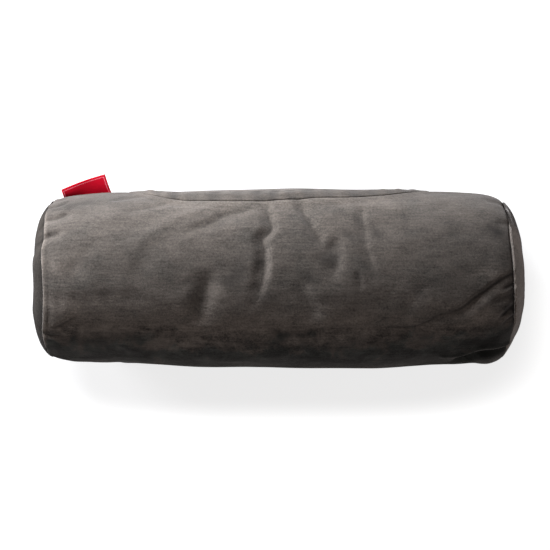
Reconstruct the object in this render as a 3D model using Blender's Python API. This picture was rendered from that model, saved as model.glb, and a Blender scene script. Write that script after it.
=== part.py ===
"""A filled velvet bolster cushion, lying on the surface with its long axis along X.

The origin lies on the surface, under the middle of the cushion. +Y is the cushion's back, where
the closing seam runs. Sizes are in millimetres, and angles in degrees round the cushion: 0 is its
top, 90 its back and -90 its front.
"""
import bisect
import math
from collections import namedtuple

import bmesh
import bpy
from mathutils import Vector

MM = 0.001

# Driving sizes of the cushion
SEAM_TO_SEAM = 500.0
END_X = SEAM_TO_SEAM / 2
CENTRE_HEIGHT = 94.0
DOME_LEAN = 0.07
DOME_CROWDING = 0.75
CLOTH = 2.0
GAP = 0.3
SETTLE = 3.0

# The standing lip of the wrap panel round each end, and the groove that the end panel is sewn into
LIP_PROUD = 1.6
LIP_WIDTH = 2.5
GROOVE_DEPTH = 2.3
GROOVE_WIDTH = 2.0

# The domed ends, the left one (-1) and the right one (1): how far each rises beyond its seam, and
# how full it is towards its back and towards its front
Dome = namedtuple("Dome", "rise back front")
DOMES = {-1: Dome(19.4, 4.6, 5.0), 1: Dome(20.6, 4.8, 3.6)}

# The strip over the fastening, on the back seam
PLACKET_LEFT = -166.0
PLACKET_RIGHT = 167.0
PLACKET_FADE = 2.0
PLACKET_GAP = 0.5
PLACKET_BULGE = 1.3
PLACKET_STEP = 5.5

# The folded tag in the back seam
TAG_THICKNESS = 1.4
TAG_LENGTH = 52.3
TAG_TILT = 19.0
TAG_TIP_LEFT = (-244.0, 99.3)
TAG_ROOT_LEFT = -240.8
TAG_ROOT_RIGHT = -187.2
TAG_SINK = 0.4
TAG_RISE = 4.0
TAG_BOW = 1.2

# Steps of the surface
UNDER_STEPS = 13
TOP_STEPS = 24
REAR_STEPS = 9
FRONT_EDGE = -60.0
DOME_STEPS = 5

# Cross-sections of the wrap panel: how far its back, front, top and underside lie from the centre
# line. An underside lower than the surface is flattened on it.
Section = namedtuple("Section", "x back front top under")
SECTIONS = (
    Section(-250, 87.0, 88.0, 87.0, 87.0),
    Section(-237, 90.6, 92.0, 90.0, 91.5),
    Section(-222, 92.4, 93.0, 91.6, 96.0),
    Section(-196, 94.0, 94.6, 92.8, 100.0),
    Section(-168, 95.2, 95.8, 93.4, 102.0),
    Section(-140, 96.8, 97.3, 93.8, 103.0),
    Section(-90, 97.8, 98.8, 93.6, 103.0),
    Section(-30, 98.9, 99.4, 93.2, 103.0),
    Section(30, 99.6, 100.0, 93.6, 103.0),
    Section(100, 98.8, 100.2, 94.0, 103.0),
    Section(150, 96.7, 98.6, 93.8, 103.0),
    Section(190, 96.2, 97.4, 93.2, 101.5),
    Section(220, 94.4, 97.2, 92.0, 97.0),
    Section(237, 92.0, 95.6, 90.6, 92.0),
    Section(250, 87.4, 88.0, 87.4, 87.0),
)

# How far each end seam lies beyond its nominal place, round the cushion
Rim = namedtuple("Rim", "x left right")
RIM = (
    Rim(-180, 3.0, 0.0),
    Rim(-120, 4.5, -0.5),
    Rim(-85, 5.0, -0.5),
    Rim(-55, 5.4, 0.8),
    Rim(-42, 5.4, 1.6),
    Rim(-30, 2.8, 3.2),
    Rim(-12, 2.0, 2.2),
    Rim(0, 2.0, 1.2),
    Rim(20, 3.4, -0.2),
    Rim(32, 1.8, -1.2),
    Rim(48, 3.2, -0.8),
    Rim(64, 3.0, -2.4),
    Rim(85, 0.4, -1.6),
    Rim(120, 1.0, -0.8),
    Rim(180, 3.0, 0.0),
)

# Where the back seam runs round the cushion
SeamPoint = namedtuple("SeamPoint", "x angle")
SEAM = (
    SeamPoint(-250, 91.5),
    SeamPoint(-215, 91.0),
    SeamPoint(-185, 87.0),
    SeamPoint(-158, 77.5),
    SeamPoint(-142, 70.0),
    SeamPoint(-114, 62.0),
    SeamPoint(-80, 58.0),
    SeamPoint(-30, 56.4),
    SeamPoint(12, 58.2),
    SeamPoint(40, 60.2),
    SeamPoint(78, 62.2),
    SeamPoint(117, 67.0),
    SeamPoint(142, 73.0),
    SeamPoint(170, 81.0),
    SeamPoint(205, 87.5),
    SeamPoint(250, 91.0),
)

# Columns of the surface beside the back seam, as degrees past it and height over the cloth, where
# the strip over the fastening lies in it (open) and where it is sewn shut
SeamColumn = namedtuple("SeamColumn", "open_turn open_rise shut_turn shut_rise")
SEAM_COLUMNS = (
    SeamColumn(0.0, 1.6, -1.5, 0.4),
    SeamColumn(0.5, -0.6, 0.0, -1.6),
    SeamColumn(4.0, -0.6, 1.5, 0.4),
    SeamColumn(8.0, -0.6, 6.5, 0.0),
    SeamColumn(12.0, -0.6, 11.0, 0.0),
    SeamColumn(15.5, -0.6, 15.5, 0.0),
    SeamColumn(16.3, 0.3, 17.5, 0.0),
)
PLACKET_TURNS = (0.9, 4.0, 8.0, 12.0, 15.0)

# Main folds, each along a path of places (x, angle). A negative height is a trough.
Fold = namedtuple("Fold", "height width path")
FOLDS = (
    # The bent crease in the middle
    Fold(-4.6, 7.0, ((-14, 54), (-10, 41), (-11, 30), (-18, 23), (-16, 10), (-19, -2), (-29, -17))),
    # The broad dent left of it
    Fold(-4.8, 12.0, ((-76, 7), (-80, -4), (-85, -12), (-90, -29))),
    # Long slanting folds that run up to the fastening
    Fold(-2.6, 10.0, ((-22, 54), (-48, 49), (-82, 37), (-110, 31))),
    Fold(-2.0, 9.0, ((-90, 35), (-127, 27), (-144, 14), (-158, -4))),
    # Short folds right of the middle
    Fold(-2.8, 9.0, ((26, 54), (30, 43), (37, 33), (48, 18))),
    Fold(-3.6, 9.0, ((64, 27), (64, 16), (63, 8), (58, -2))),
    Fold(-1.8, 9.0, ((18, -1), (27, -10), (42, -29))),
    Fold(-2.4, 8.0, ((90, 55), (90, 39), (93, 19), (102, 3))),
    Fold(-1.5, 8.0, ((134, 52), (138, 40), (145, 28))),
    # The long trough from the right end, the puckers under it and the pocket at the corner
    Fold(-2.4, 6.5, ((256, 4), (235, 0.5), (220, -5), (194, -17), (178, -21), (146, -32), (104, -32))),
    Fold(-2.6, 6.0, ((256, -9), (242, -12), (222, -18))),
    Fold(-2.8, 6.0, ((256, -20), (240, -22), (228, -30))),
    Fold(2.6, 6.0, ((256, -52), (226, -54), (204, -63), (192, -67))),
    Fold(-5.0, 7.0, ((256, -64), (226, -66), (210, -72))),
    # Soft lines from the left end of the fastening, and one above the trough
    Fold(-1.3, 8.0, ((-90, 56), (-124, 57), (-155, 50.5), (-170, 46))),
    Fold(-1.4, 8.0, ((161, -3), (144, -14), (131, -27))),
    # Puckers at the left end
    Fold(-3.0, 7.0, ((-256, 30), (-244, 32), (-230, 34))),
    Fold(-2.4, 7.0, ((-256, 47), (-238, 47), (-225, 55))),
    Fold(-1.4, 8.0, ((-226, -2), (-212, 11), (-196, 26))),
    Fold(1.5, 9.0, ((-240, 9), (-228, 10))),
    # Puckers at both ends on the hidden side
    Fold(-2.0, 8.0, ((-252, -88), (-228, -84))),
    Fold(-2.4, 8.0, ((-252, -118), (-224, -112))),
    Fold(-2.0, 8.0, ((-252, 124), (-226, 120))),
    Fold(-2.2, 8.0, ((-252, 76), (-230, 72))),
    Fold(-2.4, 8.0, ((252, 70), (226, 66))),
    Fold(-2.0, 8.0, ((252, 42), (234, 40))),
    Fold(-2.2, 8.0, ((252, 122), (224, 118))),
    Fold(-2.2, 8.0, ((252, -112), (226, -108))),
)

# Rows of the wrap panel along X, from its left seam to its right one
Span = namedtuple("Span", "start end step")
ROWS = (
    Span(-249.0, -172.0, 7.5),
    Span(-168.0, -166.0, 2.0),
    Span(-160.0, -46.0, 9.0),
    Span(-41.0, 6.0, 5.3),
    Span(14.0, 162.0, 9.0),
    Span(167.0, 169.0, 2.0),
    Span(175.0, 249.0, 7.5),
)

VELVET = (0.112, 0.103, 0.096)
TAG_RED = (0.62, 0.008, 0.030)


def even_steps(start, end, count):
    """Count + 1 numbers from start to end, evenly apart."""
    return [start + (end - start) * i / count for i in range(count + 1)]


def row_places():
    """The rows of ROWS, each span divided evenly."""
    places = []
    for span in ROWS:
        count = max(1, round((span.end - span.start) / span.step))
        places += even_steps(span.start, span.end, count)
    return places


def smooth_read(table, column, x):
    """A column of a table that is sorted by its first column, x, on a smooth curve."""
    places = [row.x for row in table]
    values = [getattr(row, column) for row in table]
    x = min(max(x, places[0]), places[-1])
    i = min(max(bisect.bisect_right(places, x) - 1, 0), len(table) - 2)

    def slope(k):
        before, after = max(k - 1, 0), min(k + 1, len(table) - 1)
        return (values[after] - values[before]) / (places[after] - places[before])

    wide = places[i + 1] - places[i]
    t = (x - places[i]) / wide
    start = (1 + 2 * t) * (1 - t) ** 2 * values[i] + t * (1 - t) ** 2 * wide * slope(i)
    end = t * t * (3 - 2 * t) * values[i + 1] - t * t * (1 - t) * wide * slope(i + 1)
    return start + end


def smooth_step(low, high, value):
    t = min(max((value - low) / (high - low), 0.0), 1.0)
    return t * t * (3 - 2 * t)


def placket_share(x):
    """1 where the strip lies in the seam, 0 where the seam is sewn shut."""
    into = smooth_step(PLACKET_LEFT - PLACKET_FADE, PLACKET_LEFT, x)
    out = smooth_step(PLACKET_RIGHT, PLACKET_RIGHT + PLACKET_FADE, x)
    return into - out


def seam_angle(x):
    return smooth_read(SEAM, "angle", x)


def rim_shift(x, angle):
    """How far the cloth near an end is pushed along X, so that the end seam runs unevenly."""
    side = math.copysign(1.0, x)
    out = smooth_read(RIM, "left" if side < 0 else "right", (angle + 180) % 360 - 180)
    return side * out * smooth_step(0.7 * END_X, END_X, abs(x))


def fold_height(x, angle):
    """How far the folds lift the cloth at a place."""
    reach = (smooth_read(SECTIONS, "back", x) + smooth_read(SECTIONS, "top", x)) / 2
    per_degree = math.radians(1) * reach
    here = Vector((x, angle * per_degree))
    total = 0.0
    for fold in FOLDS:
        path = [Vector((place[0], place[1] * per_degree)) for place in fold.path]
        length = sum((b - a).length for a, b in zip(path, path[1:]))
        best = None
        run = 0.0
        for a, b in zip(path, path[1:]):
            along = b - a
            t = min(max((here - a).dot(along) / along.length_squared, 0.0), 1.0)
            away = (here - a - along * t).length
            if best is None or away < best[0]:
                best = (away, run + t * along.length)
            run += along.length
        away, at = best
        fade = min(length / 3, 3 * fold.width)
        from_rim = abs(fold.path[0][0]) > END_X
        start = 1.0 if from_rim else smooth_step(-0.3 * fade, fade, at)
        end = smooth_step(-0.3 * fade, fade, length - at)
        total += fold.height * start * end * math.exp(-((away / fold.width) ** 2))
    return total


def round_section(x, angle):
    """The filled section at x before folds, as (y, z) with no surface under it."""
    turn = math.radians(angle)
    wide = smooth_read(SECTIONS, "back" if math.sin(turn) > 0 else "front", x)
    tall = smooth_read(SECTIONS, "top" if math.cos(turn) > 0 else "under", x)
    return Vector((wide * math.sin(turn), CENTRE_HEIGHT + tall * math.cos(turn)))


def settled(height):
    """Heights near and below the surface, pressed flat on it with a soft edge."""
    if height < -SETTLE:
        return 0.0
    if height < SETTLE:
        return (height + SETTLE) ** 2 / (4 * SETTLE)
    return height


def cloth_point(x, angle, rise=0.0):
    """A point of the wrap panel's outer face, or one that stands over it by rise."""
    here = round_section(x, angle)
    along = round_section(x, angle + 0.5) - round_section(x, angle - 0.5)
    out = Vector((along.y, -along.x)).normalized()
    if out.dot(here - Vector((0, CENTRE_HEIGHT))) < 0:
        out = -out
    here += out * (fold_height(x, angle) + rise)
    return Vector((x + rim_shift(x, angle), here.x, settled(here.y)))


def ring_columns(x):
    """The columns of the wrap panel's ring at x, as (angle, rise)."""
    seam = seam_angle(x)
    share = placket_share(x)
    beside = []
    for column in SEAM_COLUMNS:
        turn = column.shut_turn + share * (column.open_turn - column.shut_turn)
        rise = column.shut_rise + share * (column.open_rise - column.shut_rise)
        beside.append((seam + turn, rise))
    under = [(angle, 0.0) for angle in even_steps(-180.0, FRONT_EDGE, UNDER_STEPS)[:-1]]
    top = [(angle, 0.0) for angle in even_steps(FRONT_EDGE, beside[0][0], TOP_STEPS)[:-1]]
    rear = [(angle, 0.0) for angle in even_steps(beside[-1][0], 180.0, REAR_STEPS)[1:-1]]
    return under + top + beside + rear


def wrap_ring(x):
    return [cloth_point(x, angle, rise) for angle, rise in ring_columns(x)]


def end_point(point, side, beyond, inwards, share=1.0):
    """A point of a cushion's end, beyond its seam: a rim point closed in, then a share of that."""
    centre = Vector((0.0, CENTRE_HEIGHT))
    out = Vector((point.y, point.z)) - centre
    at = centre + out * share * (1 - inwards / out.length)
    uneven = (point.x - side * END_X) * share
    full = 1 - DOME_LEAN * (1 - share) * at.x / CENTRE_HEIGHT
    return Vector((side * (END_X + beyond * full) + uneven, at.x, at.y))


def end_ring(rim, side, beyond, inwards):
    return [end_point(point, side, beyond, inwards) for point in rim]


def dome_rings(rim, side, lift):
    """Rings of a domed end from its edge to near its middle, lifted off the filling by lift."""
    start = LIP_WIDTH + GROOVE_WIDTH
    radius = SECTIONS[0].top - start
    dome = DOMES[side]
    rise = dome.rise - CLOTH - GAP + GROOVE_DEPTH
    rings = []
    for step in even_steps(1.0, 0.0, DOME_STEPS)[:-1]:
        share = step ** DOME_CROWDING
        ring = []
        for point in rim:
            to_back = smooth_step(-0.5, 0.5, point.y / CENTRE_HEIGHT)
            full = dome.front + (dome.back - dome.front) * to_back
            height = rise * (1 - share ** full)
            lean = math.atan(rise * full * share ** (full - 1) / radius)
            beyond = height - GROOVE_DEPTH + lift * math.cos(lean)
            ring.append(end_point(point, side, beyond, start - lift * math.sin(lean) / share, share))
        rings.append(ring)
    return rings


def skin(mesh, rings, closed=True):
    """Adds vertices for the rings and faces between each and the next. Returns the vertices."""
    rows = [[mesh.verts.new(point * MM) for point in ring] for ring in rings]
    for low, high in zip(rows, rows[1:]):
        count = len(low)
        for i in range(count if closed else count - 1):
            j = (i + 1) % count
            mesh.faces.new((low[i], low[j], high[j], high[i]))
    return rows


def close_with_middle(mesh, row, x):
    """Closes a ring with triangles to one middle point."""
    middle = mesh.verts.new(Vector((x, 0.0, CENTRE_HEIGHT)) * MM)
    for i, vertex in enumerate(row):
        mesh.faces.new((vertex, row[(i + 1) % len(row)], middle))


def make_object(name, mesh, material):
    bmesh.ops.recalc_face_normals(mesh, faces=mesh.faces)
    data = bpy.data.meshes.new(name)
    mesh.to_mesh(data)
    mesh.free()
    data.shade_smooth()
    data.set_sharp_from_angle(angle=math.radians(50))
    data.materials.append(material)
    made = bpy.data.objects.new(name, data)
    bpy.context.scene.collection.objects.link(made)
    return made


def make_material(name, colour, roughness):
    material = bpy.data.materials.new(name)
    material.use_nodes = True
    shader = material.node_tree.nodes["Principled BSDF"]
    shader.inputs["Base Color"].default_value = (*colour, 1.0)
    shader.inputs["Roughness"].default_value = roughness
    shader.inputs["Metallic"].default_value = 0.0
    return material


def end_rings(side):
    """The body's rings from the end of the wrap panel to near the middle of the dome."""
    rim = wrap_ring(side * END_X)
    lip = [
        end_ring(rim, side, 0.6 * LIP_PROUD, 0.16 * LIP_WIDTH),
        end_ring(rim, side, LIP_PROUD, 0.5 * LIP_WIDTH),
        end_ring(rim, side, 0.3 * LIP_PROUD, 0.92 * LIP_WIDTH),
        end_ring(rim, side, -GROOVE_DEPTH, LIP_WIDTH),
    ]
    return lip + dome_rings(rim, side, 0.0)


def build_body():
    mesh = bmesh.new()
    left = list(reversed(end_rings(-1)))
    rings = left + [wrap_ring(x) for x in row_places()] + end_rings(1)
    rows = skin(mesh, rings)
    close_with_middle(mesh, rows[0], -(END_X + DOMES[-1].rise - CLOTH - GAP))
    close_with_middle(mesh, rows[-1], END_X + DOMES[1].rise - CLOTH - GAP)
    return make_object("bolster_body", mesh, make_material("velvet_wrap", VELVET, 0.95))


def build_end_panel(name, side):
    """A round sheet of cloth over a domed end, with its edge in the groove inside the lip."""
    mesh = bmesh.new()
    rim = wrap_ring(side * END_X)
    inner = dome_rings(rim, side, GAP)
    outer = dome_rings(rim, side, GAP + CLOTH)
    rows = skin(mesh, list(reversed(inner)) + outer)
    close_with_middle(mesh, rows[0], side * (END_X + DOMES[side].rise - CLOTH))
    close_with_middle(mesh, rows[-1], side * (END_X + DOMES[side].rise))
    return make_object(name, mesh, make_material("velvet_" + name, VELVET, 0.95))


def placket_rise(x, across):
    """How far the strip's outer face stands over the cloth, with its puckers."""
    arch = math.sin(math.pi * min(across * 1.2, 1.0))
    pucker = 0.55 * math.sin(x / 3.4 + 1.3 * math.sin(x / 21.0)) + 0.35 * math.sin(x / 8.3)
    return PLACKET_BULGE * arch + pucker * math.sin(math.pi * across)


def build_placket():
    """The puckered strip that covers the fastening, under the wrap panel's edge."""
    mesh = bmesh.new()
    ends = (PLACKET_LEFT + PLACKET_GAP, PLACKET_RIGHT - PLACKET_GAP)
    count = round((ends[1] - ends[0]) / PLACKET_STEP)
    first, last = PLACKET_TURNS[0], PLACKET_TURNS[-1]
    base = SEAM_COLUMNS[1].open_rise + PLACKET_GAP
    rings = []
    for x in even_steps(*ends, count):
        seam = seam_angle(x)
        inner = [cloth_point(x, seam + turn, base) for turn in PLACKET_TURNS]
        outer = []
        for turn in reversed(PLACKET_TURNS):
            across = (turn - first) / (last - first)
            outer.append(cloth_point(x, seam + turn, base + CLOTH + placket_rise(x, across)))
        rings.append(inner + outer)
    rows = skin(mesh, rings)
    half = len(PLACKET_TURNS)
    for row in (rows[0], rows[-1]):
        for i in range(half - 1):
            mesh.faces.new((row[i], row[i + 1], row[-2 - i], row[-1 - i]))
    return make_object("zip_placket", mesh, make_material("velvet_placket", VELVET, 0.95))


def tag_middle(along, up):
    """A point of the tag's middle layer: along from its left end to its right, up from its root."""
    x = TAG_ROOT_LEFT + along * (TAG_ROOT_RIGHT - TAG_ROOT_LEFT)
    root = cloth_point(x, seam_angle(x), -TAG_SINK)
    tilt = math.radians(TAG_TILT)
    run = along * TAG_LENGTH
    bow = TAG_BOW * math.sin(math.pi * along)
    tip = Vector((
        TAG_TIP_LEFT[0] + run * math.cos(tilt) - bow * math.sin(tilt),
        TAG_TIP_LEFT[1] + run * math.sin(tilt) + bow * math.cos(tilt),
        root.z + TAG_RISE + bow,
    ))
    point = root.lerp(tip, up)
    point.z += TAG_BOW * math.sin(math.pi * up)
    return point


def build_tag():
    """The tag, a thin flat piece with a rounded fold along its tip."""
    mesh = bmesh.new()
    thick = Vector((0, 0, TAG_THICKNESS / 2))
    rings = []
    for along in even_steps(0.0, 1.0, 8):
        ups = even_steps(0.0, 1.0, 4)
        upper = [tag_middle(along, up) + thick * (0.5 if up == 1.0 else 1.0) for up in ups]
        lower = [tag_middle(along, up) - thick * (0.5 if up == 1.0 else 1.0) for up in ups]
        rings.append(upper + list(reversed(lower)))
    rows = skin(mesh, rings)
    half = len(rows[0]) // 2
    for row in (rows[0], rows[-1]):
        for i in range(half - 1):
            mesh.faces.new((row[i], row[i + 1], row[-2 - i], row[-1 - i]))
    return make_object("label_tag", mesh, make_material("tag_red", TAG_RED, 0.55))


def main():
    for old in list(bpy.data.objects):
        bpy.data.objects.remove(old, do_unlink=True)
    build_body()
    build_end_panel("end_panel_left", -1)
    build_end_panel("end_panel_right", 1)
    build_placket()
    build_tag()


main()
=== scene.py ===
"""Dresses the bolster cushion: velvet wrap panel, domed end panels, covered zip, folded tag.

The frame is in metres. The tables below are in millimetres, with angles in degrees round the
cushion: 0 is its top, 90 its back, where the closing seam runs, and -90 its front.
"""
import math

import bmesh
import bpy
import numpy as np
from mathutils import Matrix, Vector


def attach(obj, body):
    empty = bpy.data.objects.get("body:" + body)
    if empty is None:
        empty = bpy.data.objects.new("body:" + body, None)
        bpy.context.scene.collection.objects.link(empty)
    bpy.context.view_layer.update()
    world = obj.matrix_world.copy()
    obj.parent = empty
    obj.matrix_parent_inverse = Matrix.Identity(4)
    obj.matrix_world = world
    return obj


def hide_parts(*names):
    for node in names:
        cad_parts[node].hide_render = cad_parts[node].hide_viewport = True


bl_info = {
    "name": "Bolster Cushion",
    "version": (1, 0, 0),
    "blender": (4, 5, 0),
    "location": "3D Viewport > Sidebar > Bolster",
    "description": "Builds a filled velvet bolster with its seams, covered zip and folded tag",
    "category": "Object",
}

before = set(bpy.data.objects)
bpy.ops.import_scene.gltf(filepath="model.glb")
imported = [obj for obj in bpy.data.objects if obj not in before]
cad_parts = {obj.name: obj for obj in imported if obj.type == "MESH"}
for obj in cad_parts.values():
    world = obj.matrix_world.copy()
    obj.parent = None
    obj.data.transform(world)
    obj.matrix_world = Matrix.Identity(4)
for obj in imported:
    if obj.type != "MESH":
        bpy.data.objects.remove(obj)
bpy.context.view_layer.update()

MM = 0.001
BODY = "root"
SIDES = {-1: "left", 1: "right"}

# Half the length between the end seams, the height of the centre line, the mean radius and the
# length of one degree round the cushion
END_X = 250.0
CENTRE_HEIGHT = 94.0
MEAN_RADIUS = 95.0
DEGREE = math.radians(1) * MEAN_RADIUS

# How gently the underside bends on to the surface that it lies on
SETTLE = 3.0

# Cross-sections of the filled wrap: how far its back, front, top and underside lie from the
# centre line. An underside lower than the surface is flattened on it.
SECTIONS = {
    "x": (-250, -237, -222, -196, -168, -140, -90, -30, 30, 100, 150, 190, 220, 237, 250),
    "back": (87.0, 90.6, 92.4, 94.0, 95.2, 96.8, 97.8, 98.9, 99.6, 98.8, 96.7, 96.2, 94.4, 92.0, 87.4),
    "front": (88.0, 92.0, 93.0, 94.6, 95.8, 97.5, 99.4, 100.2, 100.8, 100.7, 98.6, 97.4, 97.2, 96.4, 91.5),
    "top": (87.0, 90.0, 91.6, 92.8, 93.4, 93.8, 93.6, 93.2, 93.6, 94.0, 93.8, 93.2, 92.0, 90.6, 87.4),
    "under": (87, 91.5, 96, 100, 102, 103, 103, 103, 103, 103, 103, 101.5, 97, 92, 87),
}

# How far each end seam lies beyond its nominal place, round the cushion
RIM = {
    "angle": (-180, -120, -85, -68, -55, -42, -30, -12, 0, 20, 32, 48, 64, 85, 120, 180),
    "left": (3.0, 4.2, 4.4, 4.4, 4.6, 4.8, 2.6, 0.8, 1.3, 3.2, 1.8, 3.2, 3.0, 0.4, 1.0, 3.0),
    "right": (0.0, -1.2, -1.6, -1.0, 1.0, 2.2, 3.2, 2.2, 1.2, -0.2, -1.2, -0.6, -1.6, -1.0, -0.8, 0.0),
}

# Where the back seam runs round the cushion
SEAM = {
    "x": (-250, -215, -185, -158, -142, -114, -80, -30, 12, 40, 78, 117, 142, 170, 205, 250),
    "angle": (91.5, 91, 87, 77.5, 70, 62, 58, 56.4, 58.2, 60.2, 62.2, 67, 73, 81, 87.5, 91),
}

# Folds of the cloth, each along a path of places (x, angle): its height, its width to the left and
# to the right of the path, and how sharp its crest is
FOLDS = (
    # The bent crease in the middle
    (-5.6, 9.0, 12.0, 0.85, ((-14, 55), (-13, 48), (-10, 41), (-8, 35), (-11, 30), (-17, 26.5),
        (-18, 23), (-16, 19), (-16, 14), (-16, 7), (-17, 0), (-19, -4))),
    (-2.4, 8.0, 15.0, 0.7, ((-16, 12), (-16, 5), (-18, -1), (-21, -8), (-26, -15))),
    # The soft dent to its left
    (-4.4, 12.0, 12.0, 0.25, ((-73, 6), (-74, 2), (-77, -5), (-81, -13), (-84, -22), (-86, -32))),
    # Long slanting folds that run up to the fastening
    (-3.0, 15.0, 7.5, 0.5, ((-16, 54), (-27, 50.5), (-42, 47.5), (-57, 44.5), (-73, 38.5),
        (-91, 33), (-105, 29))),
    (-2.0, 15.0, 9.0, 0.25, ((-94, 32), (-112, 29), (-127, 25), (-138, 20), (-145, 13), (-151, 7),
        (-158, -4))),
    (0.9, 5.0, 8.0, 0.4, ((-60, 53.5), (-81, 49), (-104, 44), (-118, 38), (-134, 32), (-150, 26))),
    # Short folds right of the middle
    (-4.8, 10.0, 8.0, 0.35, ((21, 60), (24, 52), (29, 43), (36, 33), (42, 26), (47, 16))),
    (-1.8, 6.0, 7.0, 0.1, ((43, 14), (52, 18), (60, 23), (68, 28))),
    (-3.8, 8.0, 12.0, 0.3, ((63, 27), (62, 16), (61, 8), (56, -2))),
    (-2.0, 9.0, 10.0, 0.1, ((18, -1), (27, -10), (36, -20), (42, -29))),
    (-2.8, 7.0, 9.0, 0.35, ((90, 55), (90, 39), (92, 29), (93, 19), (98, 10), (102, 3))),
    (-1.2, 3.5, 5.0, 0.3, ((82, 5), (86, -1), (88, -8))),
    (-1.5, 7.0, 9.0, 0.1, ((134, 52), (138, 40), (145, 28))),
    # The long trough from the right end, and the ridge and puckers under it
    (-2.0, 13.0, 3.6, 1.0, ((256, 4.5), (249, 3.4), (243, 1.5), (229, -3.6), (218, -8.6),
        (208, -13), (199, -17.6), (192, -21))),
    (-1.4, 12.0, 3.6, 1.0, ((214, -10), (204, -15), (194, -20), (186, -22), (178, -23),
        (170, -24.5), (160, -28.5), (146, -32), (122, -32.5), (104, -32))),
    (0.4, 9.0, 8.0, 0.1, ((236, -8), (223, -12), (211, -21), (204, -27), (196, -34))),
    (0.4, 7.0, 9.0, 0.0, ((238, 7), (229, 3.5), (218, -1), (208, -6), (199, -11))),
    (-2.2, 4.0, 2.8, 0.9, ((256, -3), (250, -3.6), (242, -5.6), (236, -7.5))),
    (-1.5, 6.0, 5.0, 0.4, ((256, -11), (248, -11.5), (236, -13.5), (225, -16.5))),
    (-2.8, 7.0, 4.8, 0.9, ((256, -17.5), (249, -18.4), (244, -21), (238, -24.5), (231, -29))),
    (-2.6, 7.0, 3.2, 0.9, ((256, -25.5), (249, -26.5), (242, -29.5), (236, -33))),
    (2.4, 4.0, 4.0, 0.5, ((256, -51), (243, -50.5), (233, -50.5), (222, -51.5), (215, -53),
        (207, -56.5), (199, -59.5), (188, -61), (176, -62))),
    (-7.0, 6.0, 7.0, 0.3, ((258, -59.5), (240, -59), (226, -60), (214, -63), (204, -68),
        (192, -72))),
    # Soft lines from the ends of the fastening, and one above the trough
    (-1.3, 8.0, 8.0, 0.3, ((-90, 56), (-108, 57), (-124, 57), (-140, 54), (-155, 50.5),
        (-170, 46))),
    (-1.0, 5.0, 5.0, 0.4, ((-142, 69.5), (-155, 69), (-170, 66), (-187, 64))),
    (-0.4, 7.0, 9.0, 0.3, ((161, -3), (152, -7), (144, -14), (137, -21.5), (131, -27))),
    # The shallow crease along the front
    (-0.55, 1.8, 1.8, 0.7, ((-158, -33), (-128, -34), (-84, -33), (-42, -32), (-7, -32), (23, -32),
        (66, -32), (108, -32))),
    # Puckers at the left end
    (-3.8, 5.0, 13.0, 0.6, ((-256, 30), (-249, 30.5), (-244, 32), (-237, 32.5), (-230, 34))),
    (-3.0, 5.0, 12.0, 0.6, ((-256, 47), (-238, 47), (-230, 49.5), (-225, 55))),
    (-1.4, 4.0, 4.0, 0.3, ((-256, 61), (-244, 61.5), (-236, 62), (-229, 68))),
    (-1.6, 8.0, 12.0, 0.2, ((-226, -2), (-219, 4), (-212, 11), (-203, 18), (-196, 26))),
    (1.5, 9.0, 9.0, 0.0, ((-240, 9), (-228, 10))),
    (-3.4, 3.0, 5.0, 1.0, ((-258, -45), (-250, -44.5), (-241, -44), (-231, -42))),
    (-1.7, 2.5, 6.0, 0.9, ((-241, -37), (-232, -33.5), (-224, -30), (-216, -26.5))),
    # Puckers at both ends, at the back and low on the front
    (-2.0, 8.0, 8.0, 0.2, ((-253, -88), (-228, -84))),
    (-2.4, 8.0, 8.0, 0.2, ((-253, -118), (-224, -112))),
    (-2.0, 8.0, 8.0, 0.2, ((-253, 124), (-226, 120))),
    (-2.2, 8.0, 8.0, 0.2, ((-253, 76), (-230, 74))),
    (-2.4, 8.0, 8.0, 0.2, ((253, 70), (226, 66))),
    (-1.4, 6.0, 6.0, 0.2, ((253, 42), (236, 40))),
    (-2.2, 8.0, 8.0, 0.2, ((253, 122), (224, 118))),
    (-2.2, 8.0, 8.0, 0.2, ((253, -112), (226, -108))),
)

# How many widths away a fold still counts, how softly its width changes over from one side of its
# path to the other, how round a sharp crest is, how deep a crease in full shade is, and how far
# from its path the shade reaches
FOLD_REACH = 4.0
SIDE_BLEND = 1.5
CREST_ROUND = 0.5
CREASE_DEPTH = 1.6
CREASE_SHADE = 1.5

# Painted light and shade round the cushion and along it, as tones of the colour: 1 is the plain colour
PAINTED_LIGHT_ROUND = (
    (-180, 1.0), (-90, 0.7), (-68, 0.55), (-55, 0.72), (-46, 1.05), (-37, 1.5), (-30, 1.85), (-22, 1.5),
    (-12, 1.1), (5, 0.9), (20, 0.96), (34, 1.05), (46, 1.26), (58, 1.5), (75, 1.4), (120, 1.0), (180, 1.0),
)
PAINTED_LIGHT_ALONG = ((-250, 0.92), (-150, 0.98), (-40, 1.06), (90, 1.02), (170, 0.90), (250, 0.81))
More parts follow.
